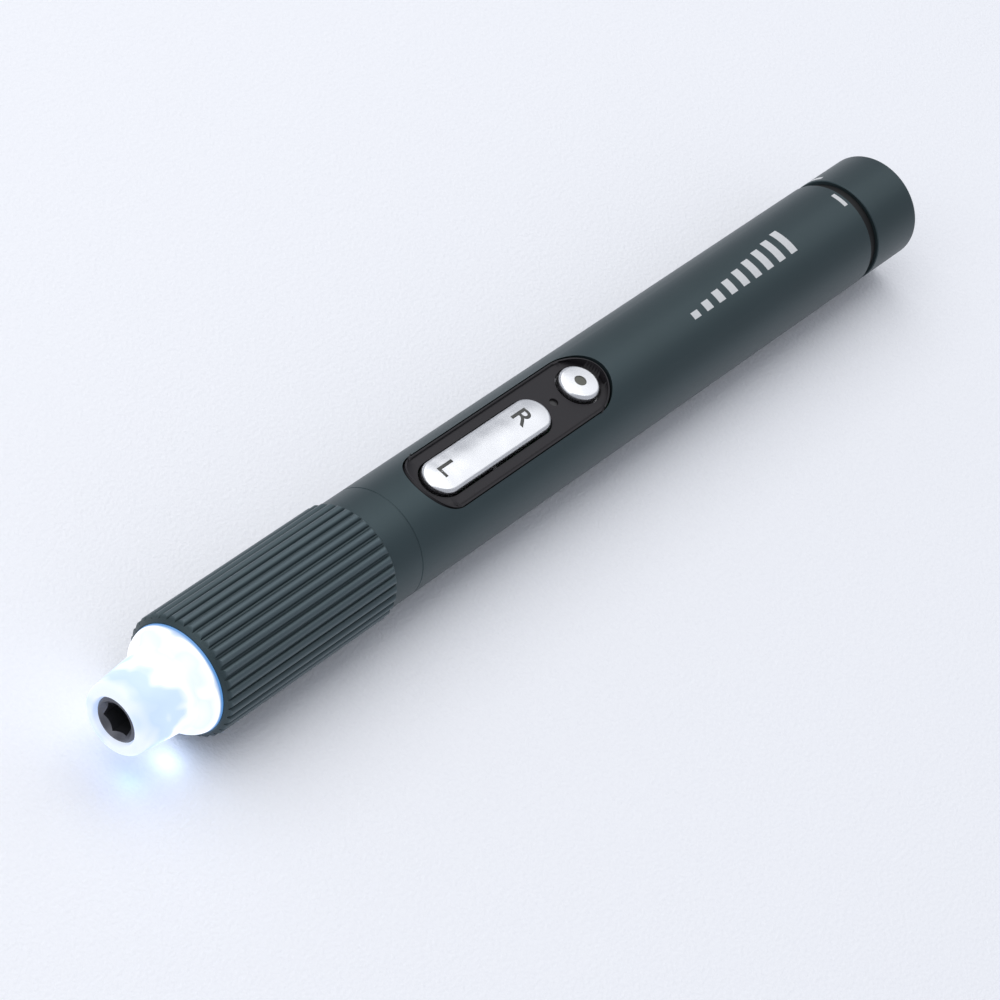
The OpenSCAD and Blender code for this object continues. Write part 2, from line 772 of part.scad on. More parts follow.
module motor_shaft() {
    color(silver) along(input_planet_x)
        cylinder(h = motor_x + shaft_depth - run_gap - input_planet_x, r = motor_shaft_r, $fn = inner_fn);
}

// Holes or shanks for the two motor screws
module at_motor_screws(x) {
    along(x) around(2) translate([motor_screw_ring_r, 0, 0]) children();
}

// Plate that closes the gearbox and carries the motor
module motor_plate() {
    color(steel) difference() {
        tube(plate_x, motor_plate_t, inner_r, motor_boss_r + seat_gap);
        at_motor_screws(plate_x - cut)
            cylinder(h = motor_plate_t + 2 * cut, r = motor_screw_r + seat_gap, $fn = inner_fn);
        at_motor_screws(plate_x - cut)
            cylinder(h = motor_screw_head_h + cut, r = motor_screw_head_r + fit_gap, $fn = inner_fn);
    }
}

// Two screws with flat heads sunk in the motor plate
module motor_screws() {
    color(steel) at_motor_screws(plate_x) difference() {
        union() {
            cylinder(h = motor_plate_t + motor_screw_depth, r = motor_screw_r, $fn = inner_fn);
            cylinder(h = motor_screw_head_h, r = motor_screw_head_r, $fn = inner_fn);
        }
        translate([-motor_screw_r, -slot_w / 2, -cut])
            cube([2 * motor_screw_r, slot_w, cut + motor_screw_head_h / 2]);
    }
}

module motor_can() {
    color(silver) difference() {
        union() {
            along(motor_x) cylinder(h = motor_cap_x - motor_x, r = motor_r);
            along(motor_x - motor_boss_h) cylinder(h = motor_boss_h + cut, r = motor_boss_r);
        }
        along(motor_x - 2 * cut)
            cylinder(h = shaft_depth + 2 * cut, r = motor_shaft_r + journal_gap, $fn = inner_fn);
        at_motor_screws(motor_x - cut)
            cylinder(h = motor_screw_depth + fit_gap + cut, r = motor_screw_r + seat_gap, $fn = inner_fn);
    }
}

module motor_end_cap() {
    color(dark_plastic) along(motor_cap_x) cylinder(h = end_cap_t, r = motor_r - fit_gap);
}

// Two solder tags on the end cap
module motor_terminals() {
    color(brass) for (side = [-1, 1])
        block(
            [terminal_x, terminal_x + terminal_len],
            span(side * terminal_y, terminal_w),
            span(board_z + terminal_rise, terminal_t)
        );
}

// Anodised tube with the round-ended opening for the button panel
module barrel() {
    color(anodised) difference() {
        along(seam_x) rotate_extrude() polygon([
            [barrel_bore_r, 0], [barrel_r - seam_bevel, 0], [barrel_r, seam_bevel],
            [barrel_r, barrel_len - seam_bevel], [barrel_r - seam_bevel, barrel_len],
            [barrel_bore_r, barrel_len]
        ]);
        obround_plate(recess_x, recess_end_x, recess_r, 0, 2 * barrel_r);
    }
}

// Panel with a rim at each round end, holes for the buttons, lugs for the pin and legs
module button_panel() {
    panel_r = recess_r - fit_gap / 2;
    x0 = recess_x + fit_gap / 2;
    x1 = recess_end_x - fit_gap / 2;
    hole_r = rocker_w / 2 + run_gap;
    lug_y = hole_r + fit_gap;
    leg_y = panel_r - fit_gap - panel_leg / 2;
    color(dark_plastic) difference() {
        union() {
            intersection() {
                obround_plate(x0, x1, panel_r, panel_under_z, barrel_r);
                along(seam_x) cylinder(h = barrel_len, r = barrel_r - fit_gap);
            }
            for (side = [-1, 1]) {
                block(
                    span(rocker_x, 2 * pivot_boss_r),
                    span(side * (lug_y + panel_leg / 2), panel_leg),
                    [pivot_z - pivot_boss_r + fit_gap, panel_under_z]
                );
                for (x = [x0 + panel_r, x1 - panel_r])
                    block(span(x, panel_leg), span(side * leg_y, panel_leg), [board_z, panel_under_z]);
            }
        }
        obround_plate(x0 + panel_rim, x1 - panel_rim, panel_r, panel_z, 2 * barrel_r);
        block([x0 + panel_r, x1 - panel_r], span(0, 2 * barrel_r), [panel_z, 2 * barrel_r]);
        obround_plate(
            rocker_x - rocker_len / 2 - run_gap, rocker_end_x + run_gap, hole_r, panel_under_z - cut, barrel_r
        );
        post(button_x, button_r + run_gap, [panel_under_z - cut, barrel_r]);
        post(pinhole_x, pinhole_r, [panel_under_z - cut, barrel_r]);
        pivot_bar(2 * barrel_r, rocker_pin_r + seat_gap);
    }
}

// Half outline of a key: rounded edge and a crown towards the middle
function key_outline(r, z0, z1, crown) = concat(
    [[0, z0], [r, z0]],
    arc([r - button_edge_r, z1 - crown - button_edge_r], button_edge_r, 0, button_edge_deg),
    [for (i = [arc_steps - 1 : -1 : 0]) let (u = i / arc_steps * (r - button_edge_r))
        [u, z1 - crown * pow(u / (r - button_edge_r), 2)]]
);

// Silver rocker with soft edges, a boss for its pin and a plunger over each switch
module direction_rocker() {
    r = rocker_w / 2;
    outline = key_outline(r, key_under_z, button_top_z, rocker_crown);
    straight = rocker_len - 2 * r;
    plunger_z = switch_top_z + tilt_sweep + fit_gap / 2;
    color(silver) difference() {
        union() {
            in_tool() translate([rocker_x - straight / 2, 0, 0]) rotate([90, 0, 90])
                linear_extrude(straight)
                    union() {
                        polygon(outline);
                        mirror([1, 0]) polygon(outline);
                    }
            for (side = [-1, 1])
                in_tool() translate([rocker_x + side * straight / 2, 0, 0]) rotate_extrude() polygon(outline);
            pivot_bar(rocker_w - 2 * fit_gap, pivot_boss_r);
            for (side = [-1, 1])
                post(rocker_x + side * plunger_reach, plunger_r, [plunger_z, key_under_z + fit_gap]);
        }
        pivot_bar(2 * barrel_r, rocker_pin_r + journal_gap);
    }
}

module rocker_pin() {
    color(steel) pivot_bar(rocker_pin_len, rocker_pin_r);
}

// Silver button with a flange under the panel and a plunger over its switch
module round_button() {
    flange_z = panel_under_z - fit_gap / 2;
    plunger_z = switch_top_z + button_travel + fit_gap / 2;
    color(silver) difference() {
        union() {
            in_tool() translate([button_x, 0, 0]) rotate_extrude()
                polygon(key_outline(button_r, flange_z - button_flange_t, button_top_z, rocker_crown / 2));
            post(button_x, button_r + button_flange_w, [flange_z - button_flange_t, flange_z]);
            post(button_x, plunger_r, [plunger_z, flange_z - button_flange_t]);
        }
        post(button_x, button_lens_r + seat_gap, [button_top_z - button_lens_inset - button_lens_depth, barrel_r]);
    }
}

module button_lens() {
    lens_top_z = button_top_z - button_lens_inset;
    color(black_steel) post(button_x, button_lens_r, [lens_top_z - button_lens_depth, lens_top_z]);
}

// Clear pipe from the status lamp to the pinhole, with a collar under the panel
module indicator_lens() {
    color(frosted) union() {
        post(pinhole_x, pinhole_r - seat_gap, [board_z + status_h + fit_gap, panel_z - indicator_inset]);
        post(pinhole_x, pinhole_r + indicator_collar_w, [panel_under_z - indicator_collar_h, panel_under_z]);
    }
}

module status_lamp() {
    color("white")
        block(span(pinhole_x, status_len), span(0, status_len / 2), [board_z, board_z + status_h]);
}

// Places the two board screws
module at_board_screws(z) {
    for (x = [board_x + board_screw_inset, board_end_x - board_screw_inset])
        in_tool() translate([x, 0, z]) children();
}

module main_board() {
    color(board_green) difference() {
        block([board_x, board_end_x], span(0, board_w), [chassis_top_z, board_z]);
        at_board_screws(chassis_top_z - cut)
            cylinder(h = board_t + 2 * cut, r = board_screw_r + fit_gap, $fn = inner_fn);
    }
}

// Three switches: one under each end of the rocker and one under the round button
module tact_switches() {
    color(black_steel) for (x = [rocker_x - plunger_reach, rocker_x + plunger_reach, button_x])
        union() {
            block(span(x, switch_side), span(0, switch_side), [board_z, board_z + switch_h]);
            post(x, plunger_r, [board_z + switch_h, switch_top_z]);
        }
}

// Motor driver and controller, one on each side of the rocker pin
module board_chips() {
    chip_offset = plunger_reach / 2;
    color("#202024") for (side = [-1, 1])
        block(
            span(rocker_x + side * chip_offset, chip_side),
            span(0, chip_side), [board_z, board_z + chip_h]
        );
}

module board_screws() {
    color(steel) at_board_screws(board_z - board_t - board_screw_depth) union() {
        cylinder(h = board_t + board_screw_depth, r = board_screw_r, $fn = inner_fn);
        translate([0, 0, board_t + board_screw_depth]) difference() {
            cylinder(h = board_screw_head_h, r = board_screw_head_r, $fn = inner_fn);
            translate([-board_screw_r, -slot_w / 2, board_screw_head_h / 2])
                cube([2 * board_screw_r, slot_w, cut]);
        }
    }
}

// Half-round bar that carries the board on its flat top and the battery in a cradle
module chassis() {
    pocket_x = battery_x - 2 * tab_t;
    color(dark_plastic) difference() {
        along(chassis_x) cylinder(h = chassis_end_x - chassis_x, r = chassis_r);
        block([0, total_len], span(0, 4 * barrel_r), [chassis_top_z, 2 * barrel_r]);
        in_tool() translate([pocket_x, 0, battery_z]) rotate([0, 90, 0])
            cylinder(h = pocket_end_x - pocket_x, r = battery_r + fit_gap);
        block(
            [board_x + trough_end, board_end_x - trough_end],
            span(0, trough_w), [chassis_top_z - trough_depth, chassis_top_z + cut]
        );
        at_board_screws(chassis_top_z - board_screw_depth - fit_gap)
            cylinder(h = board_screw_depth + cut, r = board_screw_r + seat_gap, $fn = inner_fn);
    }
}

module battery_cell() {
    color("#5b8fb0") in_tool() translate([battery_x, 0, battery_z]) rotate([0, 90, 0]) union() {
        cylinder(h = battery_end_x - battery_x, r = battery_r);
        cylinder(h = battery_end_x + battery_nub_h - battery_x, r = battery_nub_r);
    }
}

// Nickel strips on both ends of the battery
module battery_tabs() {
    contact_x = battery_end_x + battery_nub_h;
    color(silver) for (x = [battery_x - tab_t, contact_x])
        block(
            [x, x + tab_t], span(0, tab_w),
            [battery_z - tab_w / 2, chassis_top_z + board_t]
        );
}

// Outline of the charge socket in the YZ plane, widened by a margin
module socket_outline(margin) {
    r = socket_h / 2 + margin;
    for (side = [-1, 1])
        translate([0, side * (socket_w / 2 - socket_h / 2)]) circle(r = r, $fn = inner_fn);
    square([2 * r, socket_w - socket_h], center = true);
}

// Plug in the end of the barrel: it holds the charge socket and carries the cap
module tail_spigot() {
    spigot_x = barrel_end_x - spigot_len;
    slot_w = charge_board_w + 2 * fit_gap;
    color(dark_plastic) difference() {
        along(0) rotate_extrude() polygon([
            [0, spigot_x], [chassis_r, spigot_x], [chassis_r, barrel_end_x],
            [neck_r, barrel_end_x], [neck_r, seal_x - seal_r - fit_gap / 2],
            [seal_groove_r, seal_x - seal_r - fit_gap / 2],
            [seal_groove_r, seal_x + seal_r + fit_gap / 2],
            [neck_r, seal_x + seal_r + fit_gap / 2], [neck_r, neck_end_x], [0, neck_end_x]
        ]);
        along(socket_x - cut) linear_extrude(socket_len + 2 * cut) socket_outline(fit_gap / 2);
        block([spigot_x - cut, socket_x], span(0, slot_w), span(0, socket_h));
        block(
            [spigot_x - cut, charge_board_end_x + fit_gap], span(0, slot_w),
            [charge_board_top_z - board_t - fit_gap / 2, fit_gap + charge_board_top_z]
        );
    }
}

module charge_board() {
    color(board_green) block(
        [charge_board_x, charge_board_end_x], span(0, charge_board_w),
        [charge_board_top_z - board_t, charge_board_top_z]
    );
}

// Steel shell of the charge socket, closed at its inner end
module charge_socket() {
    color(silver) along(socket_x) difference() {
        linear_extrude(socket_len) socket_outline(0);
        translate([0, 0, socket_wall]) linear_extrude(socket_len) socket_outline(-socket_wall);
    }
}

module socket_tongue() {
    color("#202024") block(
        [socket_x + socket_wall, neck_end_x - socket_wall], span(0, tongue_w), span(0, tongue_t)
    );
}

module seal_ring() {
    color("#1c1c1e") along(seal_x) rotate_extrude()
        translate([seal_groove_r + seat_gap + seal_r, 0]) circle(r = seal_r, $fn = inner_fn);
}

// Two dogs on the lock ring, or the keyways for them in the cap
module dogs(x, len, r0, r1, w) {
    in_tool() for (side = [-1, 1])
        intersection() {
            translate([x, -w / 2, side > 0 ? 0 : -2 * r1]) cube([len, w, 2 * r1]);
            translate([x, 0, 0]) rotate([0, 90, 0]) difference() {
                cylinder(h = len, r = r1);
                translate([0, 0, -cut]) cylinder(h = len + 2 * cut, r = r0);
            }
        }
}

// Ring between the barrel and the cap that turns with the cap
module lock_ring() {
    ring_x = barrel_end_x + fit_gap;
    ring_end_x = cap_x - fit_gap;
    color("#2a2c2f") union() {
        tube(ring_x, ring_end_x - ring_x, lock_ring_r, lock_bore_r);
        dogs(ring_end_x - cut / 2, dog_len + cut / 2, lock_bore_r, dog_r, dog_w);
    }
}

// Turned cap: a cup with two keyways in its mouth
module tail_cap() {
    cap_depth = cap_len - cap_end_t;
    color(anodised) difference() {
        along(cap_x) rotate_extrude() polygon(concat(
            [[0, 0], [cap_r - seam_bevel, 0], [cap_r, seam_bevel]],
            [for (p = arc([cap_len - cap_edge_r, cap_r - cap_edge_r], cap_edge_r, 90, 0)) [p[1], p[0]]],
            [[0, cap_len]]
        ));
        along(cap_x - cut) cylinder(h = cap_depth + cut, r = cap_bore_r);
        dogs(cap_x - cut, dog_len + run_gap + cut, neck_r, dog_r + run_gap, dog_w + 2 * run_gap);
    }
}

nose_light_guide();
nose_lamps();
lamp_board();
grip_sleeve();
front_bush();
bit_spindle();
bit_magnet();
spindle_clip();
gearbox_housing();
output_carrier();
output_pins();
output_planet_1();
output_planet_2();
output_planet_3();
input_carrier();
input_sun();
input_pins();
input_planet_1();
input_planet_2();
input_planet_3();
motor_pinion();
motor_shaft();
motor_plate();
motor_screws();
motor_can();
motor_end_cap();
motor_terminals();
barrel();
button_panel();
direction_rocker();
rocker_pin();
round_button();
button_lens();
indicator_lens();
status_lamp();
main_board();
tact_switches();
board_chips();
board_screws();
chassis();
battery_cell();
battery_tabs();
tail_spigot();
charge_board();
charge_socket();
socket_tongue();
seal_ring();
lock_ring();
tail_cap();
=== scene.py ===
import math

import bmesh
import bpy
from mathutils import Matrix, Vector
from mathutils.bvhtree import BVHTree


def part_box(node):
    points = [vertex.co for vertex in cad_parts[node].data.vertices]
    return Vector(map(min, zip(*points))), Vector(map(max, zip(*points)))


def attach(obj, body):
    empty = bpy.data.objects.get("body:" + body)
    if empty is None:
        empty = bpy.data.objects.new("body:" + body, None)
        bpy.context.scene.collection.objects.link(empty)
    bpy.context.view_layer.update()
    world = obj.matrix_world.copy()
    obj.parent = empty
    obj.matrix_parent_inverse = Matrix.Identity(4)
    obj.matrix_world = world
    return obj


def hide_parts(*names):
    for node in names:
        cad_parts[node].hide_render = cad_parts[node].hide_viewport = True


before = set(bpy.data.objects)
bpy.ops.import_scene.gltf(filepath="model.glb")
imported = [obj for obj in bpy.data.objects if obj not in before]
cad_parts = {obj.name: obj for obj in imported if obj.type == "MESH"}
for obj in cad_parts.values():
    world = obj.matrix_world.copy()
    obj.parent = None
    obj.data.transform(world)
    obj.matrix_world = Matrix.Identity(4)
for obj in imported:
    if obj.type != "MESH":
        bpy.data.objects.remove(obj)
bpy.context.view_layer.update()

# --- Floor -----------------------------------------------------------------------------------
# A pale painted board that the tool lies on. It is matt and a little blue, with the fine pebble
# that a paint roller leaves, and it keeps the tool's soft shadow and the light of its nose.
MM = 0.001


def linear(hex_colour):
    """An sRGB hex colour as linear red, green, blue and alpha."""
    parts = [int(hex_colour[i:i + 2], 16) / 255 for i in (1, 3, 5)]
    return [p / 12.92 if p <= 0.04045 else ((p + 0.055) / 1.055) ** 2.4 for p in parts] + [1.0]


def grains(size):
    """The scale of a pattern whose grains are that many millimetres wide."""
    return 1 / (size * MM)


def add_node(material, kind, settings=None, **links):
    """Adds a shader node with its settings, and fills its sockets with values or other outputs."""
    node = material.node_tree.nodes.new(kind)
    for name, value in (settings or {}).items():
        setattr(node, name, value)
    for name, value in links.items():
        socket = node.inputs[int(name[1:]) if name[1:].isdigit() else name.replace("_", " ")]
        if isinstance(value, bpy.types.NodeSocket):
            material.node_tree.links.new(value, socket)
        else:
            socket.default_value = value
    return node


def new_material(name):
    """An empty material, and the Object coordinates that its patterns follow."""
    material = bpy.data.materials.new(name)
    material.use_nodes = True
    material.node_tree.nodes.clear()
    return material, add_node(material, "ShaderNodeTexCoord").outputs["Object"]


def finish_material(material, shader):
    """Joins a shader to the material's output."""
    add_node(material, "ShaderNodeOutputMaterial", Surface=shader.outputs[0])
    return material


def grained(name, colours, metallic, roughness, grain, depth, stretch=(1, 1, 1), **sockets):
    """A finish whose tone, roughness and bump follow one noise. Grain and depth are in mm."""
    material, place = new_material(name)
    turned = add_node(material, "ShaderNodeMapping", Vector=place, Scale=stretch)
    noise = add_node(
        material, "ShaderNodeTexNoise", Vector=turned.outputs[0], Scale=grains(grain), Detail=3.0
    )
    tone = add_node(
        material, "ShaderNodeMix", {"data_type": "RGBA"}, i0=noise.outputs[0],
        i6=linear(colours[0]), i7=linear(colours[1])
    )
    rough = add_node(
        material, "ShaderNodeMapRange", Value=noise.outputs[0], To_Min=roughness[0],
        To_Max=roughness[1]
    )
    bump = add_node(material, "ShaderNodeBump", Distance=depth * MM, Height=noise.outputs[0])
    return finish_material(material, add_node(
        material, "ShaderNodeBsdfPrincipled", Base_Color=tone.outputs[2], Metallic=metallic,
        Roughness=rough.outputs[0], Normal=bump.outputs[0], **sockets
    ))


def new_piece(name, form, material):
    """An object made from a bmesh whose place is in its points."""
    mesh = bpy.data.meshes.new(name)
    form.to_mesh(mesh)
    form.free()
    mesh.materials.append(material)
    piece = bpy.data.objects.new(name, mesh)
    bpy.context.scene.collection.objects.link(piece)
    return piece


FLOOR_SIZE = 6.0
FLOOR_DROP = 0.02 * MM
# The pebble is drawn 0.55 mm wide, about twice the real one, so that it shows.
PEBBLE = 0.55
floor_paint = grained(
    "rolled_matt_paint", ("#f0f1f5", "#f6f7fa"), 0.0, (0.62, 0.75), PEBBLE, 0.12
)
floor_form = bmesh.new()
bmesh.ops.create_grid(
    floor_form, x_segments=1, y_segments=1, size=FLOOR_SIZE / 2,
    matrix=Matrix.Translation((0, 0, -FLOOR_DROP))
)
new_piece("floor", floor_form, floor_paint)

# --- Camera ----------------------------------------------------------------------------------
# A long lens in front of the nose, above the tool and to its left. The tool is seen rolled
# towards it by 24 degrees, so that its buttons face the lens.
VIEW_AZIMUTH = math.radians(-51.80)
VIEW_ELEVATION = math.radians(33.07)
TOOL_ROLL = math.radians(24.0)
AIM = (-0.0017, 0, 0.00846)
LENS_OFFSET = (-0.003195, -0.007719, 0.51217)
camera_data = bpy.data.cameras.new("camera")
camera_data.sensor_width = 36.0
camera_data.lens = 138.39
camera_data.clip_start = 0.05
camera = bpy.data.objects.new("camera", camera_data)
camera.matrix_world = (
    Matrix.Translation(AIM)
    @ Matrix.Rotation(-TOOL_ROLL, 4, "X")
    @ Matrix.Rotation(VIEW_AZIMUTH, 4, "Z")
    @ Matrix.Rotation(math.pi / 2 - VIEW_ELEVATION, 4, "X")
    @ Matrix.Translation(LENS_OFFSET)
)
bpy.context.scene.collection.objects.link(camera)
bpy.context.scene.camera = camera

# --- Light -----------------------------------------------------------------------------------
# A wide soft box overhead that puts the shadow on the near side, a narrower one behind the
# tail that the silver keys mirror, a weak one over the nose, and a plain pale sky.
bpy.context.scene.view_settings.view_transform = "Standard"


def soft_box(name, place, size, watts):
    """A square white lamp that looks at the tool."""
    lamp = bpy.data.lights.new(name, "AREA")
    lamp.size = size
    lamp.energy = watts
    holder = bpy.data.objects.new(name, lamp)
    holder.location = place
    holder.rotation_euler = (-Vector(place)).to_track_quat("-Z", "Y").to_euler()
    bpy.context.scene.collection.objects.link(holder)


soft_box("overhead_soft_box", (0.05, 0.42, 0.95), 1.2, 6.0)
soft_box("mirrored_soft_box", (0.76, 0.02, 0.80), 0.75, 1.1)
soft_box("nose_soft_box", (-0.40, 0.15, 0.40), 0.4, 0.5)
sky = bpy.data.worlds.new("sky")
sky.use_nodes = True
sky_light = sky.node_tree.nodes["Background"]
sky_light.inputs["Color"].default_value = linear("#edf1fb")
sky_light.inputs["Strength"].default_value = 0.55
bpy.context.scene.world = sky

# --- Nose light guide ------------------------------------------------------------------------
# A ring of frosted polycarbonate, turned and blasted, that snaps into the grip round the bit
# socket. Six white lamps on a ring board shine into its spigot. Its glow is painted light, emitted
# by its own surface: white with soft clouds in the flange, bluer along the cone as painted shade,
# and a painted line of bright blue light at the grip.
nose_low, nose_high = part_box("nose_light_guide")
grip_low, grip_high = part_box("grip_sleeve")
AXIS_Z = (nose_low.z + nose_high.z) / 2
CLOUD_SIZE = 3.6
# Blasting leaves a frost of 0.05 mm; it is drawn 0.15 mm wide, so that it shows.
FROST_SIZE = 0.15
# How far the clouds shift the painted glow along the ring, as a share of its length
CLOUD_DRIFT = 0.15
# Share of the way from the tip to the grip, and the colour of the painted glow there
PAINTED_GLOW = (
    (0.0, "#e0e7f5"), (0.22, "#bdd2f5"), (0.42, "#c3d8f8"), (0.56, "#ffffff"), (0.84, "#e2ebfa"),
    (0.945, "#ffffff"), (0.975, "#1a78bf")
)
light_guide, guide_place = new_material("frosted_polycarbonate_painted_glow")
guide_parts = add_node(light_guide, "ShaderNodeSeparateXYZ", Vector=guide_place)
guide_clouds = add_node(
    light_guide, "ShaderNodeTexNoise", Vector=guide_place, Scale=grains(CLOUD_SIZE), Detail=1.0,
    Distortion=0.2
)
guide_along = add_node(
    light_guide, "ShaderNodeMapRange", Value=guide_parts.outputs["X"], From_Min=nose_low.x,
    From_Max=grip_low.x
)
guide_shift = add_node(
    light_guide, "ShaderNodeMapRange", Value=guide_clouds.outputs[0], From_Min=0.3, From_Max=0.7,
    To_Min=-CLOUD_DRIFT, To_Max=CLOUD_DRIFT
)
guide_away = add_node(
    light_guide, "ShaderNodeMapRange", Value=guide_along.outputs[0], From_Min=0.75, From_Max=0.97,
    To_Min=1.0, To_Max=0.0
)
guide_drift = add_node(
    light_guide, "ShaderNodeMath", {"operation": "MULTIPLY"}, i0=guide_shift.outputs[0],
    i1=guide_away.outputs[0]
)
guide_share = add_node(
    light_guide, "ShaderNodeMath", {"operation": "ADD"}, i0=guide_along.outputs[0],
    i1=guide_drift.outputs[0]
)
guide_painted_glow = add_node(light_guide, "ShaderNodeValToRGB", Fac=guide_share.outputs[0])
for place, colour in PAINTED_GLOW[1:-1]:
    guide_painted_glow.color_ramp.elements.new(place)
for element, (place, colour) in zip(guide_painted_glow.color_ramp.elements, PAINTED_GLOW):
    element.position = place
    element.color = linear(colour)
guide_frost = add_node(
    light_guide, "ShaderNodeTexNoise", Vector=guide_place, Scale=grains(FROST_SIZE), Detail=2.0
)
guide_bump = add_node(
    light_guide, "ShaderNodeBump", Distance=0.01 * MM, Height=guide_frost.outputs[0]
)
# Painted glow: the ramp's colours shine from the surface itself, not from the lamps inside.
finish_material(light_guide, add_node(
    light_guide, "ShaderNodeBsdfPrincipled", Base_Color=linear("#747e8c"), Roughness=0.5,
    IOR=1.58, Normal=guide_bump.outputs[0], Emission_Color=guide_painted_glow.outputs[0],
    Emission_Strength=0.95
))


def dress(material, *nodes):
    """Gives a material to CAD nodes."""
    for name in nodes:
        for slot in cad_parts[name].material_slots:
            slot.material = material


dress(light_guide, "nose_light_guide")
# Lamps are white resin blocks with a yellow phosphor, moulded, a little glossy.
lamp_resin = grained(
    "phosphor_lamp_resin", ("#f3e6a2", "#fff6cf"), 0.0, (0.25, 0.35), 0.2, 0.005,
    Emission_Color=linear("#f4f8ff"), Emission_Strength=1.0
)
dress(lamp_resin, "nose_lamps", "status_lamp")

# What shines through the frosted wall falls on the floor under the nose as a blue pool.
SPILL_HEIGHT = 2.0 * MM
SPILL_RADIUS = 1.2 * MM
for name, x, y, milliwatts, colour in (
    ("flange_spill", 7.6, -5.0, 0.24, "#bcd8ff"), ("cone_spill", 1.5, -4.5, 0.17, "#4a8cff")
):
    spill = bpy.data.lights.new(name, "POINT")
    spill.shadow_soft_size = SPILL_RADIUS
    spill.energy = milliwatts / 1000
    spill.color = linear(colour)[:3]
    spill_holder = bpy.data.objects.new(name, spill)
    spill_holder.location = (nose_low.x + x * MM, y * MM, SPILL_HEIGHT)
    spill_holder.visible_camera = False
    bpy.context.scene.collection.objects.link(spill_holder)

# --- Bit spindle, magnet, clip and bush ------------------------------------------------------
# The spindle is turned from steel and blacked, with a hex socket broached in its end. A nickel
# plated magnet holds the bit, and a spring clip keeps the spindle in its sintered bronze bush.
# Turning leaves rings 0.12 mm apart across the axis.
RINGS = (1, 0.02, 0.02)
black_oxide = grained(
    "black_oxide_steel", ("#606167", "#707177"), 0.9, (0.34, 0.48), 0.12, 0.003, RINGS
)
nickel = grained("nickel_plate", ("#b9b8b1", "#cfcdc6"), 1.0, (0.22, 0.34), 0.6, 0.002)
spring_steel = grained("blued_spring_steel", ("#4a4f5c", "#5d6068"), 1.0, (0.3, 0.4), 0.3, 0.003)
bronze = grained("sintered_bronze", ("#7c5a34", "#a47c4c"), 0.9, (0.45, 0.65), 0.15, 0.01)
dress(black_oxide, "bit_spindle")
dress(nickel, "bit_magnet", "motor_can", "battery_tabs", "charge_socket")
dress(spring_steel, "spindle_clip")
dress(bronze, "front_bush")

# --- Grip sleeve, barrel and tail cap finish -------------------------------------------------
# Aluminium tube, turned, ribbed on the grip, bead blasted and anodised a dark blue green grey.
# It is matt with a soft sheen, and the crests of the ribs carry a painted highlight, a lighter
# tone.
barrel_low, barrel_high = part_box("barrel")
BARREL_R = (barrel_high.z - barrel_low.z) / 2
CREST_R = (grip_high.z - grip_low.z) / 2
# Depth of the band below the rib crests that is painted lighter, as a painted highlight
CREST_HIGHLIGHT_BAND = 0.25 * MM
# The beads leave dents of 0.05 mm; they are drawn 0.16 mm wide, so that they show.
BLAST_SIZE = 0.16
# The dye takes a little unevenly, in clouds.
DYE_CLOUD = 14.0
anodised, metal_place = new_material("blasted_anodised_aluminium")
metal_blast = add_node(
    anodised, "ShaderNodeTexNoise", Vector=metal_place, Scale=grains(BLAST_SIZE), Detail=2.0
)
metal_clouds = add_node(
    anodised, "ShaderNodeTexNoise", Vector=metal_place, Scale=grains(DYE_CLOUD), Detail=2.0
)
metal_across = add_node(
    anodised, "ShaderNodeMapping", Vector=metal_place, Location=(0, 0, -AXIS_Z), Scale=(0, 1, 1)
)
metal_radius = add_node(
    anodised, "ShaderNodeVectorMath", {"operation": "LENGTH"}, i0=metal_across.outputs[0]
)
metal_crest_highlight = add_node(
    anodised, "ShaderNodeMapRange", Value=metal_radius.outputs["Value"],
    From_Min=CREST_R - CREST_HIGHLIGHT_BAND, From_Max=CREST_R
)
metal_tone = add_node(
    anodised, "ShaderNodeMix", {"data_type": "RGBA"}, i0=metal_clouds.outputs[0],
    i6=linear("#354346"), i7=linear("#3b494d")
)
# Painted highlight: the rib crests are mixed towards a lighter tone.
metal_colour = add_node(
    anodised, "ShaderNodeMix", {"data_type": "RGBA"}, i0=metal_crest_highlight.outputs[0],
    i6=metal_tone.outputs[2], i7=linear("#505e63")
)
metal_rough = add_node(
    anodised, "ShaderNodeMapRange", Value=metal_blast.outputs[0], To_Min=0.36, To_Max=0.5
)
metal_bump = add_node(
    anodised, "ShaderNodeBump", Distance=0.004 * MM, Height=metal_blast.outputs[0]
)
finish_material(anodised, add_node(
    anodised, "ShaderNodeBsdfPrincipled", Base_Color=metal_colour.outputs[2], Metallic=0.55,
    Roughness=metal_rough.outputs[0], Normal=metal_bump.outputs[0]
))
dress(anodised, "grip_sleeve", "barrel", "tail_cap")

# --- Gearbox ---------------------------------------------------------------------------------
# Two planetary stages in one ring: a broached steel housing, turned carriers, ground pins, and
# planets pressed from steel powder round a brass pinion on the motor's shaft.
ground_steel = grained(
    "turned_steel", ("#8b8d8f", "#a8aaab"), 1.0, (0.25, 0.38), 0.12, 0.003, RINGS
)
pin_steel = grained(
    "ground_pin_steel", ("#b4b6b8", "#c6c7c9"), 1.0, (0.15, 0.24), 0.1, 0.001, RINGS
)
gear_steel = grained("sintered_gear_steel", ("#5b5d60", "#75777a"), 0.95, (0.4, 0.55), 0.1, 0.006)
brass = grained("hobbed_brass", ("#b08d4c", "#cbaa66"), 1.0, (0.22, 0.34), 0.1, 0.003, RINGS)
dress(ground_steel, "gearbox_housing", "output_carrier", "input_carrier", "motor_plate")
dress(pin_steel, "output_pins", "input_pins", "motor_shaft", "rocker_pin")
dress(brass, "motor_pinion", "motor_terminals")
dress(
    gear_steel, "input_sun",
    *[f"{stage}_planet_{k}" for stage in ("output", "input") for k in (1, 2, 3)]
)

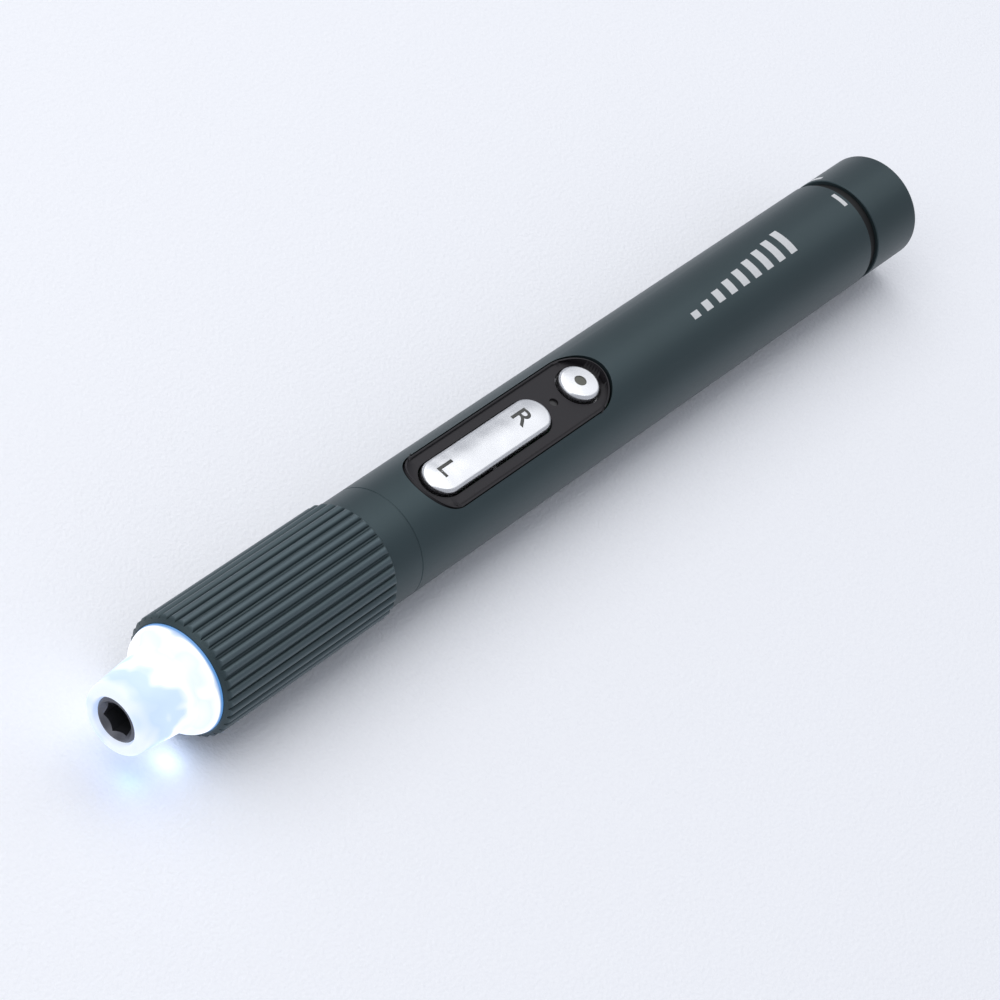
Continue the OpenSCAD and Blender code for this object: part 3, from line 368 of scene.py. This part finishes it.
# --- Motor, chassis and screws ---------------------------------------------------------------
# The motor's nickel plated can has a moulded end cap. It is screwed to the plate with zinc
# plated screws. Chassis, switches and spigot are moulded in black glass filled nylon.
screw_steel = grained("zinc_plated_screw", ("#9fa3a6", "#b8bbbd"), 1.0, (0.25, 0.4), 0.2, 0.003)
nylon = grained("glass_filled_nylon", ("#161617", "#222224"), 0.0, (0.45, 0.62), 0.25, 0.006)
dress(screw_steel, "motor_screws", "board_screws")
dress(nylon, "motor_end_cap", "tact_switches", "chassis", "tail_spigot", "socket_tongue")

# --- Printing on the barrel ------------------------------------------------------------------
# Light grey pad printing: a plain scale of growing bars along the top, and an index dash at
# the rear edge. The ink lies 0.01 mm proud of the metal.
INK = 0.01 * MM
DASH_STEPS = 6
pad_ink = grained("pad_printing_ink", ("#c2c4c5", "#d2d3d4"), 0.0, (0.4, 0.55), 0.3, 0.002)


def wrap(form, radius, turn=0.0):
    """Lays a flat sheet round the tool's axis. Its Y runs round, from the top on."""
    for vert in form.verts:
        angle = vert.co.y / radius + turn
        vert.co.z = AXIS_Z + radius * math.cos(angle)
        vert.co.y = radius * math.sin(angle)


def dash(form, x, y, length, width):
    """Adds a flat rectangle to a sheet, with its width in steps that can bend."""
    bmesh.ops.create_grid(
        form, x_segments=1, y_segments=DASH_STEPS, size=0.5,
        matrix=Matrix.Translation((x, y, 0)) @ Matrix.Diagonal((length, width, 1, 1))
    )


def ink_sheet(form):
    """Gives a printed sheet its thickness, outwards."""
    bmesh.ops.recalc_face_normals(form, faces=form.faces)
    bmesh.ops.solidify(form, geom=form.faces[:], thickness=-INK)
    bmesh.ops.recalc_face_normals(form, faces=form.faces)


BAR_COUNT = 9
BAR_LENGTH = 1.5 * MM
BAR_PITCH = 2.9 * MM
BAR_LOW, BAR_HIGH = 1.1 * MM, 4.4 * MM
SCALE_START = barrel_high.x - 39.0 * MM
bars = bmesh.new()
for k in range(BAR_COUNT):
    bar_width = BAR_LOW + (BAR_HIGH - BAR_LOW) * k / (BAR_COUNT - 1)
    dash(bars, SCALE_START + k * BAR_PITCH, (bar_width - BAR_HIGH) / 2, BAR_LENGTH, bar_width)
wrap(bars, BARREL_R)
ink_sheet(bars)
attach(new_piece("barrel_scale_print", bars, pad_ink), "housing")

DASH_LENGTH = 0.8 * MM
DASH_WIDTH = 2.6 * MM
DASH_INSET = 1.1 * MM
BARREL_DASH_Y = 0.5 * MM
barrel_dash = bmesh.new()
dash(barrel_dash, barrel_high.x - DASH_INSET, BARREL_DASH_Y, DASH_LENGTH, DASH_WIDTH)
wrap(barrel_dash, BARREL_R)
ink_sheet(barrel_dash)
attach(new_piece("barrel_index_mark", barrel_dash, pad_ink), "housing")

# --- Button panel ----------------------------------------------------------------------------
# A plate moulded in dark brown grey ABS with a fine spark eroded grain. It lies in the barrel's
# opening with a gap all round and its edges rounded, so that a dark groove runs round it.
GROOVE = 0.45 * MM
PANEL_GAP = 0.18 * MM
NEAR = 0.02 * MM
panel_plastic = grained(
    "grained_abs", ("#1b191c", "#232024"), 0.0, (0.48, 0.6), 0.18, 0.006, Specular_IOR_Level=0.35
)


def welded_copy(node):
    """A bmesh of a CAD node with its flat triangles merged into convex faces."""
    form = bmesh.new()
    form.from_mesh(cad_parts[node].data)
    bmesh.ops.remove_doubles(form, verts=form.verts, dist=0.001 * MM)
    bmesh.ops.dissolve_limit(
        form, angle_limit=math.radians(1), verts=form.verts, edges=form.edges
    )
    bmesh.ops.connect_verts_concave(form, faces=form.faces)
    return form


panel_low, panel_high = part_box("button_panel")
panel_form = welded_copy("button_panel")
PANEL_HALF = (panel_high.y - panel_low.y) / 2


def from_panel_line(point):
    """How a point lies from the line between the middles of the panel's round ends."""
    middle = min(max(point.x, panel_low.x + PANEL_HALF), panel_high.x - PANEL_HALF)
    return Vector((point.x - middle, point.y, 0))


outline = [
    vert for vert in panel_form.verts
    if abs(from_panel_line(vert.co).length - PANEL_HALF) < NEAR
]
for vert in outline:
    vert.co -= from_panel_line(vert.co).normalized() * PANEL_GAP
top_edges = [
    edge for edge in panel_form.edges
    if all(vert in outline for vert in edge.verts)
    and len(edge.link_faces) == 2
    and edge.calc_face_angle() > math.radians(30)
    and max(face.normal.z for face in edge.link_faces) > 0.5
]
bmesh.ops.bevel(
    panel_form, geom=top_edges, offset=GROOVE, segments=3, profile=0.5, affect="EDGES", material=-1,
    clamp_overlap=False
)
panel = new_piece("dressed_button_panel", panel_form, panel_plastic)
panel.data.shade_smooth()
panel.data.set_sharp_from_angle(angle=math.radians(35))
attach(panel, "housing")
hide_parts("button_panel")

# --- Direction rocker and round button -------------------------------------------------------
# Both keys are moulded in plastic and plated satin silver. Hot plastic shrank a little, so
# their mirror images waver. L and R are pad printed in dark grey on the rocker.
WAVE_SIZE = 5.0
# The real satin is finer; its grain is drawn 0.12 mm wide, so that it shows.
SATIN_SIZE = 0.12
satin_silver, key_place = new_material("satin_silver_plating")
key_waves = add_node(
    satin_silver, "ShaderNodeTexNoise", Vector=key_place, Scale=grains(WAVE_SIZE), Detail=1.0
)
key_grain = add_node(
    satin_silver, "ShaderNodeTexNoise", Vector=key_place, Scale=grains(SATIN_SIZE), Detail=2.0
)
key_rough = add_node(
    satin_silver, "ShaderNodeMapRange", Value=key_grain.outputs[0], To_Min=0.2, To_Max=0.34
)
key_wave_bump = add_node(
    satin_silver, "ShaderNodeBump", Distance=0.5 * MM, Height=key_waves.outputs[0], Strength=0.35
)
key_bump = add_node(
    satin_silver, "ShaderNodeBump", Distance=0.001 * MM, Height=key_grain.outputs[0],
    Normal=key_wave_bump.outputs[0]
)
finish_material(satin_silver, add_node(
    satin_silver, "ShaderNodeBsdfPrincipled", Base_Color=linear("#e6e7e9"), Metallic=1.0,
    Roughness=key_rough.outputs[0], Normal=key_bump.outputs[0]
))
dress(satin_silver, "direction_rocker", "round_button")

rocker_low, rocker_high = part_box("direction_rocker")
LETTER_HEIGHT = 2.9 * MM
LETTER_INSET = 4.05 * MM
LETTER_Y = 0.175 * MM
R_SHIFT = 0.5 * MM
# How far the strokes are thickened each way, in the font's own units
STROKE_OFFSET = 0.012
letter_ink = grained(
    "dark_pad_printing_ink", ("#3f403d", "#4a4a46"), 0.0, (0.4, 0.55), 0.3, 0.002
)


def flat_letter(letter):
    """A letter as a flat sheet in the middle of the plane, of height 1, split into small faces."""
    words = bpy.data.curves.new(letter, "FONT")
    words.body = letter
    words.resolution_u = 6
    words.offset = STROKE_OFFSET
    holder = bpy.data.objects.new(letter, words)
    bpy.context.scene.collection.objects.link(holder)
    outline = bpy.data.meshes.new_from_object(
        holder.evaluated_get(bpy.context.evaluated_depsgraph_get())
    )
    bpy.data.objects.remove(holder)
    form = bmesh.new()
    form.from_mesh(outline)
    bmesh.ops.triangulate(form, faces=form.faces)
    bmesh.ops.subdivide_edges(form, edges=form.edges, cuts=3)
    xs = [vert.co.x for vert in form.verts]
    ys = [vert.co.y for vert in form.verts]
    height = max(ys) - min(ys)
    middle = Vector(((max(xs) + min(xs)) / 2, (max(ys) + min(ys)) / 2, 0))
    bmesh.ops.translate(form, verts=form.verts, vec=-middle)
    bmesh.ops.scale(form, verts=form.verts, vec=(1 / height,) * 3)
    return form


rocker_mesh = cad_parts["direction_rocker"].data
rocker_surface = BVHTree.FromPolygons(
    [vert.co for vert in rocker_mesh.vertices], [face.vertices[:] for face in rocker_mesh.polygons]
)
for letter, letter_x in (
    ("L", rocker_low.x + LETTER_INSET), ("R", rocker_high.x - LETTER_INSET - R_SHIFT)
):
    form = flat_letter(letter)
    form.transform(
        Matrix.Translation((letter_x, LETTER_Y, rocker_high.z + MM))
        @ Matrix.Rotation(-math.pi / 2, 4, "Z") @ Matrix.Scale(LETTER_HEIGHT, 4)
    )
    for vert in form.verts:
        vert.co = rocker_surface.ray_cast(vert.co, Vector((0, 0, -1)))[0]
    ink_sheet(form)
    piece = new_piece(f"rocker_letter_{letter}", form, letter_ink)
    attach(piece, "rocker")

# --- Lenses ----------------------------------------------------------------------------------
# The round button's lens and the indicator's light pipe are smoked polycarbonate, moulded and
# polished: dark, with a small sharp gloss.
smoked = grained(
    "smoked_polycarbonate", ("#4b4c43", "#56574d"), 0.0, (0.3, 0.4), 0.4, 0.001, IOR=1.58
)
light_pipe = grained(
    "smoked_light_pipe", ("#141315", "#1c1b1e"), 0.0, (0.35, 0.45), 0.3, 0.001, IOR=1.58
)
dress(smoked, "button_lens")
dress(light_pipe, "indicator_lens")

# --- Boards and chips ------------------------------------------------------------------------
# Glass epoxy boards under green solder mask, with tinned copper tracks that show as ridges a
# little lighter than the mask, and chips moulded in black epoxy.
TRACK_PITCH = 1.6
DUST_SIZE = 0.4
solder_mask, board_place = new_material("green_solder_mask")
board_tracks = add_node(
    solder_mask, "ShaderNodeTexBrick", {"offset": 0.35, "squash": 0.7}, Vector=board_place,
    Color1=linear("#14532f"), Color2=linear("#17603a"), Mortar=linear("#2f8a55"),
    Scale=grains(TRACK_PITCH), Mortar_Size=0.06
)
board_bump = add_node(
    solder_mask, "ShaderNodeBump", Distance=0.02 * MM, Height=board_tracks.outputs["Fac"]
)
board_dust = add_node(
    solder_mask, "ShaderNodeTexNoise", Vector=board_place, Scale=grains(DUST_SIZE), Detail=2.0
)
board_rough = add_node(
    solder_mask, "ShaderNodeMapRange", Value=board_dust.outputs[0], To_Min=0.25, To_Max=0.45
)
finish_material(solder_mask, add_node(
    solder_mask, "ShaderNodeBsdfPrincipled", Base_Color=board_tracks.outputs["Color"],
    Roughness=board_rough.outputs[0], Normal=board_bump.outputs[0]
))
chip_epoxy = grained("chip_epoxy", ("#1a1a1b", "#29292b"), 0.0, (0.5, 0.65), 0.1, 0.004)
dress(solder_mask, "lamp_board", "main_board", "charge_board")
dress(chip_epoxy, "board_chips")

# --- Battery cell ----------------------------------------------------------------------------
# A lithium cell in a shrunk sleeve of blue film, glossy, with faint lengthwise stretch marks.
STRETCH_MARKS = (0.05, 1, 1)
sleeve_film = grained(
    "shrunk_sleeve_film", ("#1f5d86", "#2a6f9a"), 0.0, (0.18, 0.3), 0.5, 0.01, STRETCH_MARKS
)
dress(sleeve_film, "battery_cell")

# --- Tail: lock ring, seal and index mark ----------------------------------------------------
# The lock ring is turned from black acetal, satin, with fine turning rings. A nitrile O-ring
# seals the cap, which has an index mark of its own at its front edge.
acetal = grained(
    "turned_acetal", ("#0c0d0e", "#131415"), 0.0, (0.5, 0.62), 0.12, 0.002, RINGS,
    Specular_IOR_Level=0.3
)
nitrile = grained("nitrile_rubber", ("#121213", "#1c1c1d"), 0.0, (0.55, 0.7), 0.2, 0.006)
dress(acetal, "lock_ring")
dress(nitrile, "seal_ring")

cap_low, cap_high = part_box("tail_cap")
CAP_R = (cap_high.z - cap_low.z) / 2
# The cap turns through this angle until its mark meets the barrel's.
CAP_DASH_TURN = math.radians(56)
cap_dash = bmesh.new()
dash(cap_dash, cap_low.x + DASH_INSET, 0.0, DASH_LENGTH, DASH_WIDTH)
wrap(cap_dash, CAP_R, CAP_DASH_TURN)
ink_sheet(cap_dash)
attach(new_piece("cap_index_mark", cap_dash, pad_ink), "tail_cap")
